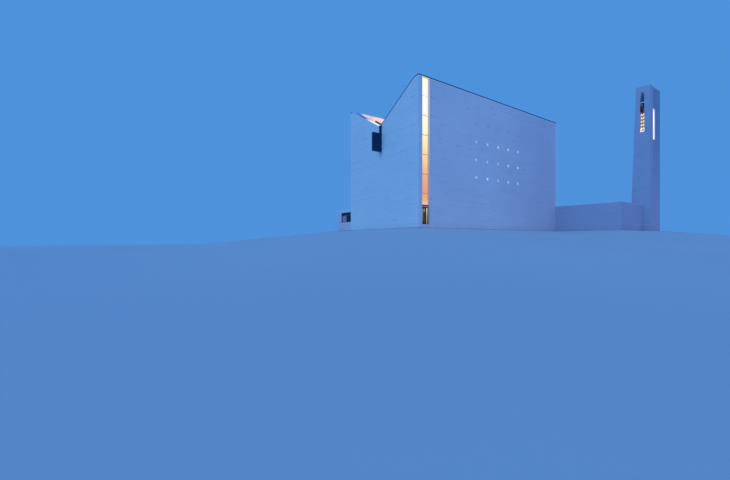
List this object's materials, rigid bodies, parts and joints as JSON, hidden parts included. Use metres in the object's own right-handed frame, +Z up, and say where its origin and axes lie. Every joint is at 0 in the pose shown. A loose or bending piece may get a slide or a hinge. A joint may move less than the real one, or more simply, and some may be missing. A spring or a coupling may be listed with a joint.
{
  "type": "modern church building, 1:2 scale model",
  "caption": "Scale model of a modern white church: tall nave with a butterfly roof and a lit slot window, low side wing, courtyard wall and slim bell tower. The door at the slot's foot opens.",
  "frame": {"origin": "middle of the underside of the nave's floor slab, at the lowest ground the walls reach", "axes": "+X along the nave towards the bell tower, +Y across the nave away from the slot window, +Z up"},
  "size_m": [22.2, 15.1, 11.4],
  "materials": {
    "white_wall": "matt white paint over coursed blocks",
    "floor_stone": "fine trowelled concrete",
    "roofing": "matt standing-seam sheet",
    "dark_metal": "satin dark blue-grey paint",
    "light_metal": "satin anodised",
    "warm_glass": "frosted, lit warm from inside",
    "cool_glass": "frosted, lit cool white from inside",
    "dark_glass": "polished, unlit room behind",
    "bronze": "cast bell bronze",
    "door_metal": "dark brown satin cladding"
  },
  "bodies": {
    "building": {"near_gable_wall": "white_wall", "far_gable_wall": "white_wall", "front_long_wall": "white_wall", "back_long_wall": "white_wall", "corner_pier": "white_wall", "nave_floor": "floor_stone", "front_window_glass": "cool_glass", "back_window_glass": "cool_glass", "roof_wing": "roofing", "rooflight_shoulder": "roofing", "valley_gutter": "dark_metal", "rain_hopper": "dark_metal", "rooflight_frame": "dark_metal", "rooflight_glass": "warm_glass", "near_verge_right": "dark_metal", "near_verge_left": "light_metal", "far_verge_right": "dark_metal", "far_verge_left": "light_metal", "front_eave_trim": "dark_metal", "back_eave_trim": "dark_metal", "slot_frame": "dark_metal", "slot_glass": "warm_glass", "slot_transom": "dark_metal", "door_threshold": "floor_stone", "hinge_jamb": "dark_metal", "door_post": "dark_metal", "sidelight_jamb": "dark_metal", "sidelight_glass": "warm_glass", "wing_near_wall": "white_wall", "wing_far_wall": "white_wall", "wing_side_wall": "white_wall", "wing_roof": "white_wall", "wing_floor": "floor_stone", "wing_near_window_frame": "dark_metal", "wing_near_window_glass": "dark_glass", "wing_far_window_frame": "dark_metal", "wing_far_window_glass": "dark_glass", "wing_side_glass": "dark_glass", "courtyard_wall_side": "white_wall", "courtyard_wall_front": "white_wall", "tower_slab": "white_wall", "tower_front_wall": "white_wall", "tower_side_wall": "white_wall", "tower_back_wall": "white_wall", "tower_roof": "floor_stone", "light_slot_glass": "cool_glass", "bell_rack": "bronze", "large_bell": "bronze", "bell_back_panel": "warm_glass", "bell_slot_sill": "light_metal", "bell_slot_louvre": "dark_metal"},
    "door": {"door_leaf": "door_metal", "door_handle": "light_metal"}
  },
  "joints": [
    {"name": "door_swing", "type": "hinge", "parent": "building", "child": "door", "pos_m": [-7.4425, -3.705, 0.705], "axis": [0, 0, -1], "range_deg": [0, 90]}
  ]
}
